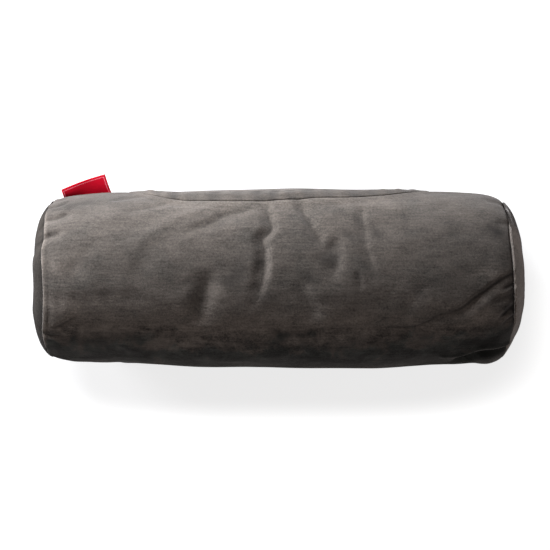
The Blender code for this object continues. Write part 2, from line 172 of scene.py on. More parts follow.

# Patches of darker or lighter colour, partly the pile's own nap and partly painted shade and light beside
# folds and pockets: place, half length, half width, change of tone
NAP_AND_PAINTED_LIGHT_PATCHES = (
    # At the left end
    (-228, 7, 14, 11, 0.50), (-226, -26, 9, 6, 0.60), (-225, 60, 25, 8, -0.35),
    (-224, -10, 22, 30, 0.28), (-218, -38, 10, 8, 1.00), (-205, -16, 35, 9, 0.50),
    (-195, -48, 22, 9, -0.50),
    # At the right end, on the front
    (190, -36, 9, 7, 0.80), (192, -48, 30, 12, -0.28), (215, -42, 30, 12, -0.15),
    (225, -45, 16, 7, -0.75), (238, -36, 12, 18, -0.75), (240, -62, 24, 7, -0.50),
    (250, -62, 14, 12, -1.60),
    # At the right end, on top and at the back
    (205, 48, 26, 8, 0.10), (214, -24, 16, 10, 0.75), (222, 1, 20, 8, 0.15), (225, -12, 22, 5, 0.25),
    (228, 3, 18, 5, 0.55), (232, 32, 10, 8, -0.60), (237, -4, 8, 7, 0.20), (238, -21, 7, 9, 0.25),
    (241, -22.5, 6, 3, -1.00), (242, 22, 5, 14, -0.15), (247, -15, 5, 14, -0.35),
    (248, -18.5, 6, 3, -1.60),
    # Along the front
    (-150, -56, 30, 6, -0.60), (-148, -42, 24, 9, -0.45), (-112, -40, 16, 7, 0.40),
    (-104, -38, 14, 22, 0.20), (-100, -49, 22, 9, 0.40), (-64, -38, 7, 12, 0.45),
    (-60, -47, 80, 11, 0.30), (-50, -42, 16, 7, 0.22), (-40, -46, 14, 7, 0.20), (-26, -54, 9, 6, 0.80),
    (-1, -37, 9, 11, -1.10), (17, -56, 13, 7, 0.80), (24, -44, 8, 5, 0.30), (28, -35.5, 20, 7, -0.65),
    (56, -39, 16, 7, 0.65), (60, -54, 26, 7, -0.12), (98, -55, 22, 8, -0.40), (100, -38, 12, 5, 0.15),
    (128, -46, 10, 6, 0.40), (132, -47, 28, 8, -0.22), (150, -38, 30, 6, -0.45),
    (168, -32, 12, 5, 0.15),
    # On top
    (-107, -22, 20, 8, 0.40), (-62, -12, 8, 14, 0.10), (-48, 0, 14, 14, -0.50), (-16, 6, 10, 22, 0.26),
    (-9, -9, 20, 9, -0.40), (39, 0, 12, 9, -0.40), (55, 13, 10, 10, -0.50), (122, 15, 12, 13, 0.34),
    (132, -10, 30, 9, 0.34), (155, -9, 9, 7, -0.40), (175, -17, 18, 5, 0.50),
    # Towards the back
    (-76, 42, 18, 6, -0.25), (-63, 45, 11, 5, -0.20), (-36, 50, 14, 4, -0.15), (-34, 41, 15, 7, -0.30),
    (29, 44, 7, 8, -0.15), (50, 32, 14, 16, 0.36), (71, 27, 10, 9, -0.45), (101, 28, 7, 9, -0.50),
    (120, 56, 22, 12, 0.36), (136, 43, 6, 6, -0.15),
)

# Where the patches below the crease along the front end, and how far it runs to the right
FRONT_CREASE = (-31.0, -33.0)
FRONT_CREASE_END = 200.0

# The wrap beside its back seam, as degrees past the seam and height over the cloth: where the
# strip lies in it (open) and where it is sewn shut
SEAM_OPEN = (
    (-7.0, 0.0), (-5.0, 0.35), (-3.4, 0.9), (-2.0, 1.35), (-1.0, 1.6), (-0.4, 1.65), (-0.1, 1.45),
    (0.0, 1.1), (0.0, 0.5), (0.05, 0.0), (0.2, -0.5), (0.6, -0.6), (2.0, -0.6), (4.0, -0.6),
    (8.0, -0.6), (12.0, -0.6), (15.3, -0.6), (15.9, -0.4), (16.3, 0.0), (17.0, 0.3), (19.0, 0.0),
)
SEAM_SHUT = (
    (-7.0, 0.0), (-5.0, 0.2), (-3.4, 0.5), (-2.2, 0.75), (-1.4, 0.8), (-0.8, 0.6), (-0.4, 0.1),
    (-0.2, -0.6), (-0.1, -1.2), (0.0, -1.5), (0.1, -1.2), (0.2, -0.6), (0.4, 0.1), (0.8, 0.6),
    (1.4, 0.8), (2.2, 0.75), (4.0, 0.5), (7.0, 0.2), (10.0, 0.0), (14.0, 0.0), (19.0, 0.0),
)

# Where the strip over the zip ends, and how quickly the seam closes beyond it
PLACKET_ENDS = (-166.0, 167.0)
PLACKET_EASE = 2.0

# The strip: its rows and columns, how far its ends stand in from where the seam closes, where it
# lies in degrees past the seam, its foot and its thickness, how far it rises and arches, over
# what length its ends fade out, and how much its puckers are shaded
STRIP_ROWS = 260
STRIP_COLUMNS = 21
STRIP_INSET = 0.5
STRIP_TURN = (0.35, 15.0)
STRIP_FOOT = -0.1
STRIP_THICK = 1.6
STRIP_RISE = 0.7
STRIP_ARCH = 1.3
STRIP_FADE = 28.0
STRIP_SHADE = 0.32

# Columns of the wrap's mesh: under the cushion up to an angle, over its top and down its rear
UNDER_END = -105.0
UNDER_COLUMNS = 33
TOP_COLUMNS = 197
REAR_COLUMNS = 44

# The wrap's edge at each end seam, and the end panel's edge that stands beside it: how far beyond
# the seam and how far inwards. On the left the wrap's edge stands proud, on the right the panel's.
WRAP_EDGE = {
    "left": (
        (0.55, 0.1), (1.05, 0.4), (1.4, 0.85), (1.6, 1.4),
        (1.35, 1.95), (0.6, 2.35), (-0.8, 2.45), (-2.3, 2.5),
    ),
    "right": (
        (0.02, 0.1), (0.14, 0.3), (0.2, 0.7), (0.2, 1.3),
        (0.1, 1.9), (-0.2, 2.3), (-0.9, 2.6), (-2.3, 2.8),
    ),
}
PANEL_EDGE = {
    "left": ((-1.6, 5.2), (-1.2, 4.6), (-0.7, 4.4), (-0.2, 4.5)),
    "right": (
        (0.5, 3.6), (0.5, 0.5), (0.7, -0.6), (1.3, -1.2), (2.2, -1.3),
        (3.0, -0.8), (3.5, 0.2), (3.6, 1.6), (3.3, 3.2),
    ),
}

# Tone of the wrap's edge, ring by ring, and of cloth that is hidden inside the seam: a painted highlight on
# the left edge's roll and painted shade in the seams
EDGE_PAINTED_LIGHT = {
    "left": (1.7, 1.7, 1.5, 1.0, 0.5, 0.25, 0.25, 0.25),
    "right": (0.5, 0.5, 0.4, 0.3, 0.3, 0.3, 0.3, 0.3),
}
HIDDEN_PAINTED_SHADE = 0.3

# How much of the right panel's edge stands proud, round the cushion
RIDGE = {
    "angle": (-180, -120, -75, -52, -38, -28, 36, 46, 54, 80, 180),
    "share": (0.5, 0.5, 0.2, 0.2, 0.6, 1.0, 1.0, 0.5, 0.0, 0.0, 0.5),
}

# The domed ends: how far they stand out in the middle, how far inside the seam they begin, how
# full they are at the back and the front, how much they lean and the height of their fine puckers
DOME_RISE = {"left": 19.4, "right": 20.6}
DOME_START = 4.5
DOME_FULLNESS = {"left": (4.6, 5.0), "right": (4.8, 3.6)}
DOME_LEAN = 0.07
DOME_RIPPLE = {"left": 0.2, "right": 0.1}

# How far beyond the seam the panels begin at the back and the front, where they come out over the
# wrap's edge, and where that lap starts: beyond the seam, inwards, and inwards on its outer side
PANEL_REACH = {"left": (2.4, 1.4), "right": (3.8, 1.6)}
LAP_BEYOND = 0.6
LAP_INWARDS = 2.8
LAP_INSET = 1.0

# The rings of a panel's dome, of its inner face and of the wrap's closed end, the columns of the
# panels, and how far inside the dome the two hidden faces lie
PANEL_RINGS = 26
INNER_RINGS = 12
WRAP_RINGS = 6
PANEL_COLUMNS = 360
PANEL_THICK = 2.0
WRAP_INSET = 2.3

# Painted shade on the left panel's first rings beside the seam, and how many rings of the right panel are
# painted lighter round its middle
LEFT_BEGIN_PAINTED_SHADE = (0.62, 0.8, 0.94)
PAINTED_LIGHT_RINGS = 18

# The folded tag: where it leaves the seam and how deep it is sewn in, where its folded edge starts
# and how far over the seam, its lean, its width, how it bows and puffs, and how thick each layer
# and the gap between them are
TAG_ROOT = (-240.8, -187.2)
TAG_SUNK = 0.4
TAG_TIP = (-244.0, 99.3)
TAG_LIFT = 4.0
TAG_TILT = 19.0
TAG_WIDTH = 52.3
TAG_BOW = 1.2
TAG_PUFF = 0.9
TAG_THICK = 0.5
TAG_GAP = 0.35

# The tag's firmer edge, and its line of stitches: how far in, half its width and its pitch
SELVEDGE = 0.9
STITCH_INSET = 2.0
STITCH_HALF = 0.4
STITCH_PITCH = 1.6

# The simulated guide that shows how the filled cloth swells: its rows and columns, how much wider
# than its seams it is cut, how many steps it runs and how far it may move the cloth
GUIDE_ROWS = 101
GUIDE_COLUMNS = 128
GUIDE_FULLNESS = 0.003
GUIDE_STEPS = 20
GUIDE_REACH = 1.5

# The floor: its half size and how far it lies below the cushion, in metres, the half sizes of the
# oval that stays in shade round the cushion, and how far it is moved to the front, as a share of
# its half width
FLOOR_REACH = 3.0
FLOOR_DROP = 0.0003
SHADE_OVAL = (0.27, 0.115)
SHADE_SHIFT = 0.26

# Each lamp: its place, what it points at and its size, in metres
LAMPS = {
    "window_lamp": ((-0.50, 0.72, 0.46), (0.0, 0.0, 0.10), (0.36, 0.30)),
    "side_lamp": ((-1.00, 0.40, 0.30), (0.0, 0.0, 0.10), (0.30, 0.25)),
    "right_lamp": ((1.10, 0.05, 0.30), (0.25, 0.0, 0.10), (0.30, 0.30)),
    "overhead_lamp": ((-0.35, -0.40, 1.60), (0.0, 0.0, 0.0), (0.80, 0.80)),
}

# Where the picture's middle lies on the cushion, in metres
VIEW_MIDDLE = (-0.0039, 0.0034)


def smooth_read(places, values, at):
    """Values on a smooth curve through (places, values)."""
    places = np.asarray(places, float)
    values = np.asarray(values, float)
    at = np.clip(at, places[0], places[-1])
    i = np.clip(np.searchsorted(places, at, side="right") - 1, 0, len(places) - 2)
    slopes = np.empty_like(values)
    slopes[1:-1] = (values[2:] - values[:-2]) / (places[2:] - places[:-2])
    slopes[0] = (values[1] - values[0]) / (places[1] - places[0])
    slopes[-1] = (values[-1] - values[-2]) / (places[-1] - places[-2])
    wide = places[i + 1] - places[i]
    t = (at - places[i]) / wide
    start = (1 + 2 * t) * (1 - t) ** 2 * values[i] + t * (1 - t) ** 2 * wide * slopes[i]
    end = t * t * (3 - 2 * t) * values[i + 1] - t * t * (1 - t) * wide * slopes[i + 1]
    return start + end


def smooth_step(low, high, value):
    """0 up to low and 1 from high on, with a soft rise between them; high may be the lower one."""
    t = np.clip((value - low) / (high - low), 0.0, 1.0)
    return t * t * (3 - 2 * t)


def smooth_path(places, pieces=6):
    """A path through the places, rounded at its corners."""
    points = np.array([(x, angle * DEGREE) for x, angle in places], float)
    runs = np.linalg.norm(np.diff(points, axis=0), axis=1)
    at = np.concatenate(([0.0], np.cumsum(runs)))
    fine = np.linspace(0.0, at[-1], pieces * (len(points) - 1) + 1)
    return np.stack([smooth_read(at, points[:, k], fine) for k in (0, 1)], 1)


def beside_path(path, px, py):
    """How far places are from a path, how far along it, how far to its left, and its length."""
    away = np.full(px.shape, np.inf)
    at = np.zeros(px.shape)
    to_left = np.zeros(px.shape)
    run = 0.0
    for (ax, ay), (bx, by) in zip(path, path[1:]):
        dx, dy = bx - ax, by - ay
        length = math.hypot(dx, dy)
        t = np.clip(((px - ax) * dx + (py - ay) * dy) / length ** 2, 0.0, 1.0)
        gap = np.hypot(px - ax - t * dx, py - ay - t * dy)
        closer = gap < away
        away = np.where(closer, gap, away)
        at = np.where(closer, run + t * length, at)
        to_left = np.where(closer, (dx * (py - ay) - dy * (px - ax)) / length, to_left)
        run += length
    return away, at, to_left, run


def near_folds(x, angle):
    """Reads each fold that passes near the places.

    It gives the fold's height and sharpness, which places are near it, how far they are from its
    path, its width on their side and how much of it is left there.
    """
    across, around = np.broadcast_arrays(x, angle * DEGREE)
    for height, left_width, right_width, sharp, places in FOLDS:
        path = smooth_path(places)
        wide = max(left_width, right_width)
        low, high = path.min(0) - FOLD_REACH * wide, path.max(0) + FOLD_REACH * wide
        near = (across > low[0]) & (across < high[0]) & (around > low[1]) & (around < high[1])
        if not near.any():
            continue
        away, at, to_left, run = beside_path(path, across[near], around[near])
        leaning = 0.5 + 0.5 * np.tanh(to_left / SIDE_BLEND)
        width = right_width + leaning * (left_width - right_width)
        # A fold fades out at both ends, but not where it begins in an end seam
        fade = min(run / 3, 2.0 * wide)
        start = 1.0 if abs(places[0][0]) > END_X else smooth_step(-0.3 * fade, fade, at)
        end = smooth_step(-0.3 * fade, fade, run - at)
        yield height, sharp, near, away, width, start * end


def fold_heights(x, angle):
    """How far the folds lift the cloth, for arrays of places."""
    total = np.zeros(np.broadcast(x, angle).shape)
    for height, sharp, near, away, width, share in near_folds(x, angle):
        soft = np.exp(-((away / width) ** 2))
        flank = np.sqrt(away ** 2 + CREST_ROUND ** 2) / width
        crisp = (1.0 - flank) * np.exp(-(flank ** 4))
        total[near] += height * share * ((1 - sharp) * soft + sharp * crisp)
    return total


def crease_depth(x, angle):
    """How far into a sharp crease each place lies, from 0 to 1, which sets the painted shade there."""
    total = np.zeros(np.broadcast(x, angle).shape)
    for height, sharp, near, away, _, share in near_folds(x, angle):
        if height < 0:
            depth = min(1.0, -height / CREASE_DEPTH)
            total[near] += share * sharp * depth * np.exp(-((away / CREASE_SHADE) ** 2))
    return np.minimum(total, 1.0)


def section(x, angle):
    """The filled section at x, before folds, as (y, z)."""
    turn = np.radians(angle)
    back, front, top, under = (
        smooth_read(SECTIONS["x"], SECTIONS[side], x) for side in ("back", "front", "top", "under")
    )
    wide = np.where(np.sin(turn) > 0, back, front)
    tall = np.where(np.cos(turn) > 0, top, under)
    return wide * np.sin(turn), CENTRE_HEIGHT + tall * np.cos(turn)


def settled(z):
    """Heights near and below the surface, pressed flat on it with a soft edge."""
    soft = (z + SETTLE) ** 2 / (4 * SETTLE)
    return np.where(z < -SETTLE, 0.0, np.where(z < SETTLE, soft, z))


def rim_shift(x, angle):
    """How far the cloth near an end is pushed along X, so that the end seam runs unevenly."""
    turn = (angle + 180) % 360 - 180
    left = smooth_read(RIM["angle"], RIM["left"], turn)
    right = smooth_read(RIM["angle"], RIM["right"], turn)
    side = np.where(x < 0, -1.0, 1.0)
    return side * np.where(x < 0, left, right) * smooth_step(0.7 * END_X, END_X, np.abs(x))


def cloth_points(x, angle, rise=0.0):
    """Points of the wrap's outer face, or ones that stand over it by rise."""
    x, angle, rise = np.broadcast_arrays(np.asarray(x, float), angle, rise)
    y, z = section(x, angle)
    y0, z0 = section(x, angle - 0.5)
    y1, z1 = section(x, angle + 0.5)
    out_y, out_z = z0 - z1, y1 - y0
    length = np.hypot(out_y, out_z)
    lift = (fold_heights(x, angle) + slack(x, angle) + rim_roll(x) + rise) / length
    y = y + out_y * lift
    z = z + out_z * lift
    return np.stack([x + rim_shift(x, angle), y, settled(z)], -1)


def rim_roll(x):
    """How the wrap rolls up to its left end seam and dips into its right one."""
    left = 0.7 * np.exp(-(((x + END_X - 1.2) / 1.6) ** 2))
    right = -1.3 * np.exp(-((END_X - x) / 1.8))
    return left + right


def slack(x, angle):
    """Slight unevenness of the filling, about a millimetre, in the upper part between the ends."""
    turn = np.radians(angle)
    waves = (
        0.45 * np.sin(x / 31.0 + 2.0 * np.sin(turn + 0.4))
        + 0.35 * np.sin(x / 17.0 + 3.0 * np.cos(turn * 2 + 1.0) + 1.7)
        + 0.30 * np.sin(x / 47.0 - 4.0 * turn)
    )
    return waves * smooth_step(0.0, 40.0, END_X - np.abs(x)) * smooth_step(130.0, 100.0, np.abs(angle))


def swelling(context, velvet):
    """How the filling presses the cloth out and lets it pucker between its seams, in millimetres.

    A coarse copy of the wrap without its folds, cut slightly wider than its seams hold it, is
    simulated as cloth under pressure. The mean of each row is taken off, as SECTIONS holds it.
    The copy is held at both end seams and where it lies on the surface.
    """
    x = np.linspace(-END_X, END_X, GUIDE_ROWS)[:, None]
    angles = np.linspace(-180, 180, GUIDE_COLUMNS + 1)[:-1]
    y, z = section(x, angles)
    start = np.stack([x + rim_shift(x, angles), y, settled(z)], -1)
    quads = grid_faces(GUIDE_ROWS, GUIDE_COLUMNS)
    caps = end_caps(GUIDE_ROWS, GUIDE_COLUMNS, -END_X, END_X)
    guide = make_piece("wrap_guide", start.reshape(-1, 3), quads, caps, velvet)
    (first, _), (last, _) = caps
    lying = np.flatnonzero(start[..., 2].ravel() < 1.0)
    middles = np.arange(GUIDE_ROWS * GUIDE_COLUMNS, len(guide.data.vertices))
    held = guide.vertex_groups.new(name="held")
    held.add(np.concatenate([first, last, lying, middles]).tolist(), 1.0, "REPLACE")
    settings = guide.modifiers.new("filling", "CLOTH").settings
    settings.vertex_group_mass = "held"
    settings.quality = 6
    settings.mass = 0.3
    settings.tension_stiffness = settings.compression_stiffness = 60.0
    settings.shear_stiffness = 5.0
    settings.bending_stiffness = 2.0
    settings.use_pressure = True
    settings.uniform_pressure_force = 4.0
    settings.shrink_min = -GUIDE_FULLNESS
    settings.effector_weights.gravity = 0.0
    for step in range(1, GUIDE_STEPS + 1):
        context.scene.frame_set(step)
    pressed = guide.evaluated_get(context.evaluated_depsgraph_get()).to_mesh()
    places = np.empty(len(pressed.vertices) * 3, np.float32)
    pressed.vertices.foreach_get("co", places)
    moved = places[: start.size].reshape(start.shape) / MM - start
    context.scene.frame_set(1)
    data = guide.data
    bpy.data.objects.remove(guide, do_unlink=True)
    bpy.data.meshes.remove(data)
    out = np.stack([0 * z, y, z - CENTRE_HEIGHT], -1)
    lift = (moved * out).sum(-1) / np.linalg.norm(out, axis=-1)
    lift = lift - lift.mean(1, keepdims=True)
    return GUIDE_REACH * np.tanh(lift / GUIDE_REACH)


def swell_at(field, x, angle):
    """The swelling read between the guide's rows and columns, on a soft spline.

    It is kept low on top, where FOLDS draws the cloth, and fades out beside the seams.
    """
    row = (x + END_X) / (2 * END_X) * (GUIDE_ROWS - 1)
    column = (angle + 180) / 360 * GUIDE_COLUMNS
    low_row, low_column = np.floor(row).astype(int), np.floor(column).astype(int)
    total = np.zeros(np.broadcast(x, angle).shape)
    for i, by_row in enumerate(spline_weights(row - low_row)):
        at = np.clip(low_row + i - 1, 0, GUIDE_ROWS - 1)
        for j, by_column in enumerate(spline_weights(column - low_column)):
            total += by_row * by_column * field[at, (low_column + j - 1) % GUIDE_COLUMNS]
    seam = seam_angle(x)
    away = np.maximum(seam - 6.0 - angle, angle - seam - 19.0)
    share = 0.3 + 0.7 * smooth_step(60.0, 85.0, np.abs(angle))
    return total * share * smooth_step(0.0, 12.0, away) * smooth_step(0.0, 12.0, END_X - np.abs(x))


def spline_weights(t):
    """How much each of the four nearest places counts, at t between the middle two."""
    return (
        (1 - t) ** 3 / 6,
        (3 * t ** 3 - 6 * t ** 2 + 4) / 6,
        (-3 * t ** 3 + 3 * t ** 2 + 3 * t + 1) / 6,
        t ** 3 / 6,
    )


def placket_share(x):
    """1 where the strip lies in the seam, 0 where the seam is sewn shut."""
    left, right = PLACKET_ENDS
    return smooth_step(left - PLACKET_EASE, left, x) - smooth_step(right, right + PLACKET_EASE, x)


def seam_angle(x):
    """Where the back seam lies at x, in degrees round the cushion."""
    return smooth_read(SEAM["x"], SEAM["angle"], x)


def wrap_columns(x):
    """Angles and heights of the wrap's columns at each x, beside the seam and round the rest."""
    seam = seam_angle(x)[:, None]
    share = placket_share(x)[:, None]
    opened, shut = np.array(SEAM_OPEN), np.array(SEAM_SHUT)
    turn = shut[:, 0] + share * (opened[:, 0] - shut[:, 0])
    rise = shut[:, 1] + share * (opened[:, 1] - shut[:, 1])
    low = seam + turn[:, :1]
    high = seam + turn[:, -1:]
    under = np.linspace(-180, UNDER_END, UNDER_COLUMNS, endpoint=False)
    under = np.broadcast_to(under, (len(x), UNDER_COLUMNS))
    top = UNDER_END + (low - UNDER_END) * np.linspace(0, 1, TOP_COLUMNS, endpoint=False)
    rear = high + (180 - high) * np.linspace(0, 1, REAR_COLUMNS + 2)[1:-1]
    angles = np.concatenate([under, top, seam + turn, rear], 1)
    rises = np.zeros_like(angles)
    rises[:, UNDER_COLUMNS + TOP_COLUMNS : -REAR_COLUMNS] = rise
    return angles, rises


def end_ring(rim, side, beyond, inwards, share=1.0):
    """A ring of a cushion's end, beyond its seam: the rim closed in, then a share of that."""
    out = rim[:, 1:] - np.array([0.0, CENTRE_HEIGHT])
    length = np.linalg.norm(out, axis=1, keepdims=True)
    inwards = np.broadcast_to(inwards, (len(rim),))[:, None]
    at = out * share * (1 - inwards / length)
    uneven = (rim[:, 0] - side * END_X) * share
    full = 1 - DOME_LEAN * (1 - share) * at[:, 0] / CENTRE_HEIGHT
    along = side * (END_X + beyond * full) + uneven
    return np.stack([along, at[:, 0], at[:, 1] + CENTRE_HEIGHT], 1)


def edge_share(angles):
    """How far an end panel comes out to the wrap's edge: all the way at the back and the front."""
    turn = np.abs(angles)
    return smooth_step(46.0, 76.0, turn) * smooth_step(140.0, 110.0, turn)


def dome_rings(rim, side, rise, start, count, ripple=None, inset=DOME_START):
    """Rings of a domed end, from where it begins beyond the seam to near its middle."""
    back, front = DOME_FULLNESS[SIDES[side]]
    full = front + (back - front) * smooth_step(-0.5, 0.5, rim[:, 1] / CENTRE_HEIGHT)
    rings = []
    for step in np.linspace(1.0, 0.0, count, endpoint=False):
        # The rings stand closer together near the edge, where the dome bends most
        share = step ** 0.75
        beyond = start + (rise - start) * (1 - share ** full)
        if ripple is not None:
            beyond = beyond + ripple(share)
        rings.append(end_ring(rim, side, beyond, inset, share))
    return rings


def wrap_end(rim, angles, side):
    """The wrap's rings beyond an end seam and the painted light and shade of each, as tones: its edge, then
    its hidden end.
    """
    name = SIDES[side]
    # The edge stands lower at the back and the front, where the panel comes out over it
    low = 1.0 - 0.8 * edge_share((angles + 180) % 360 - 180)
    rings = []
    for beyond, inwards in WRAP_EDGE[name]:
        rings.append(end_ring(rim, side, beyond * low if beyond > 0 else beyond, inwards))
    hidden = dome_rings(rim, side, DOME_RISE[name] - WRAP_INSET, -WRAP_INSET, WRAP_RINGS)
    # The edge is painted darker towards the back, as painted shade
    painted_back_shade = 1.0 - 0.55 * smooth_step(48.0, 60.0, angles)
    tones = [tone * painted_back_shade for tone in EDGE_PAINTED_LIGHT[name] + (HIDDEN_PAINTED_SHADE,) * len(hidden)]
    return rings + hidden, tones


def panel_rings(side, angles):
    """Rings of an end panel: its hidden inner face, its edge beside the seam and its dome."""
    name = SIDES[side]
    turn = np.radians(angles)
    rim = cloth_points(np.full(angles.shape, side * END_X), angles)

    def ripple(share):
        """Fine puckers beside the seam."""
        waves = np.sin(turn * 23 + 2 * np.sin(turn * 3)) + 0.7 * np.sin(turn * 41 + side)
        return DOME_RIPPLE[name] * waves * max(0.0, (share - 0.6) / 0.4) ** 2

    proud = smooth_read(RIDGE["angle"], RIDGE["share"], angles) if side > 0 else 1.0
    reach = edge_share(angles)
    begin = PANEL_EDGE[name][-1][0]
    far = np.where(angles > 0, *PANEL_REACH[name])
    edge = []
    for step, (beyond, inwards) in zip(np.linspace(0, 1, len(PANEL_EDGE[name])), PANEL_EDGE[name]):
        beyond = beyond * proud
        inwards = DOME_START + (inwards - DOME_START) * proud
        lap_beyond = LAP_BEYOND + (far - LAP_BEYOND) * step ** 2
        lap_inwards = LAP_INWARDS + (LAP_INSET - LAP_INWARDS) * step
        beyond = beyond + reach * (lap_beyond - beyond)
        edge.append(end_ring(rim, side, beyond, inwards + reach * (lap_inwards - inwards)))
    rise = DOME_RISE[name]
    inner = dome_rings(rim, side, rise - PANEL_THICK, begin - PANEL_THICK, INNER_RINGS)
    outwards = begin + reach * (far - begin)
    inset = DOME_START + reach * (LAP_INSET - DOME_START)
    outer = dome_rings(rim, side, rise, outwards, PANEL_RINGS, ripple, inset)[1:]
    return inner[::-1] + edge + outer


def panel_painted_light(side, angles, count):
    """Tones of an end panel's rings, the inner ones first: painted light and shade."""
    tone = np.ones((count, len(angles)))
    # The left panel's hidden rings are painted in shade, and its first rings beside the seam in painted
    # shade that fades out
    if side < 0:
        hidden = INNER_RINGS + len(PANEL_EDGE["left"])
        tone[:hidden] = HIDDEN_PAINTED_SHADE
        tone[hidden : hidden + len(LEFT_BEGIN_PAINTED_SHADE)] = np.array(LEFT_BEGIN_PAINTED_SHADE)[:, None]
        # The left panel is painted lighter towards its back
        return tone * (0.92 + 0.28 * smooth_step(5.0, 25.0, angles))
    # The right one's edge is painted into shade at the top, and its middle is painted lighter
    tone[:-PAINTED_LIGHT_RINGS] *= 1.0 - 0.45 * smooth_step(38.0, 54.0, angles)
    tone[-PAINTED_LIGHT_RINGS:] *= np.linspace(1.05, 1.5, PAINTED_LIGHT_RINGS)[:, None]
    # It is painted lighter from just past the top to halfway to the back, and darker beyond
    tone[-PANEL_RINGS:] *= 1.0 + 0.6 * smooth_step(8.0, 25.0, angles) * smooth_step(54.0, 44.0, angles)
    return tone * (1.0 - 0.4 * smooth_step(46.0, 56.0, angles))


def ribbon_face(radius):
    """Places (out, up, beyond the end) along one face of the tag, out along one layer and back."""
    run = np.linspace(0, 1, 22)
    turn = np.linspace(-0.5 * np.pi, 0.5 * np.pi, 11)[1:-1]
    there = [(t, -radius, 0.0) for t in run]
    bend = [(1.0, radius * math.sin(a), radius * math.cos(a)) for a in turn]
    return there + bend + [(t, radius, 0.0) for t in run[::-1]]


def grid_faces(rows, columns):
    """Quads between the points of rows that close on themselves, as rows of four indices."""
    i = np.arange(rows - 1)[:, None] * columns
    j = np.arange(columns)[None, :]
    k = (j + 1) % columns
    quads = np.stack([i + j, i + k, i + columns + k, i + columns + j], -1)
    return quads.reshape(-1, 4)


def flat_tube_faces(rows, columns):
    """Quads of a flattened tube, sewn shut at both ends."""
    quads = [grid_faces(rows, columns)]
    i = np.arange(columns // 2 - 1)
    for start in (0, (rows - 1) * columns):
        quads.append(start + np.stack([i, i + 1, columns - 2 - i, columns - 1 - i], 1))
    return np.concatenate(quads)


def end_caps(rows, columns, first_x, last_x):
    """The first and last rings of a tube, each with the place on the centre line that closes it."""
    first = np.arange(columns)
    last = first + (rows - 1) * columns
    return [(first, (first_x, 0, CENTRE_HEIGHT)), (last, (last_x, 0, CENTRE_HEIGHT))]


def make_piece(name, points, quads, caps, material, attributes=None):
    """A smooth mesh object from points in millimetres, quads and end caps, with its normals out."""
    mesh = bmesh.new()
    verts = [mesh.verts.new(p) for p in (np.asarray(points) * MM).tolist()]
    for face in quads.tolist():
        mesh.faces.new([verts[i] for i in face])
    for ring, middle in caps:
        tip = mesh.verts.new((np.asarray(middle) * MM).tolist())
        for a, b in zip(ring, np.roll(ring, -1)):
            mesh.faces.new((verts[a], verts[b], tip))
    bmesh.ops.recalc_face_normals(mesh, faces=mesh.faces)
    data = bpy.data.meshes.new(name)
    mesh.to_mesh(data)
    mesh.free()
    data.shade_smooth()
    for key, values in (attributes or {}).items():
        layer = data.attributes.new(key, "FLOAT", "POINT")
        padded = np.zeros(len(data.vertices), np.float32)
        padded[: len(values)] = values
        layer.data.foreach_set("value", padded)
    data.materials.append(material)
    made = bpy.data.objects.new(name, data)
    bpy.context.scene.collection.objects.link(made)
    return made


def set_inputs(tree, node, inputs):
    """Sets or links a node's inputs."""
    for key, value in inputs.items():
        if isinstance(value, bpy.types.NodeSocket):
            tree.links.new(value, node.inputs[key])
        else:
            node.inputs[key].default_value = value


def add_node(tree, kind, inputs=None, **settings):
    """A new shader node with its settings and inputs."""
    node = tree.nodes.new(kind)
    for key, value in settings.items():
        setattr(node, key, value)
    set_inputs(tree, node, inputs or {})
    return node


def maths(tree, operation, a, b=0.0, c=0.0):
    """The result of a new maths node."""
    return add_node(tree, "ShaderNodeMath", {0: a, 1: b, 2: c}, operation=operation).outputs[0]


def vector_maths(tree, operation, inputs, result=0):
    """A result of a new vector maths node."""
    return add_node(tree, "ShaderNodeVectorMath", inputs, operation=operation).outputs[result]


def reading(tree, name):
    """The value that the mesh holds under that name."""
    return add_node(tree, "ShaderNodeAttribute", attribute_name=name).outputs["Fac"]


def start_material(name):
    """A new material, its node tree, its shader and its place on the object."""
    material = bpy.data.materials.new(name)
    material.use_nodes = True
    tree = material.node_tree
    place = add_node(tree, "ShaderNodeTexCoord").outputs["Object"]
    return material, tree, tree.nodes["Principled BSDF"], place


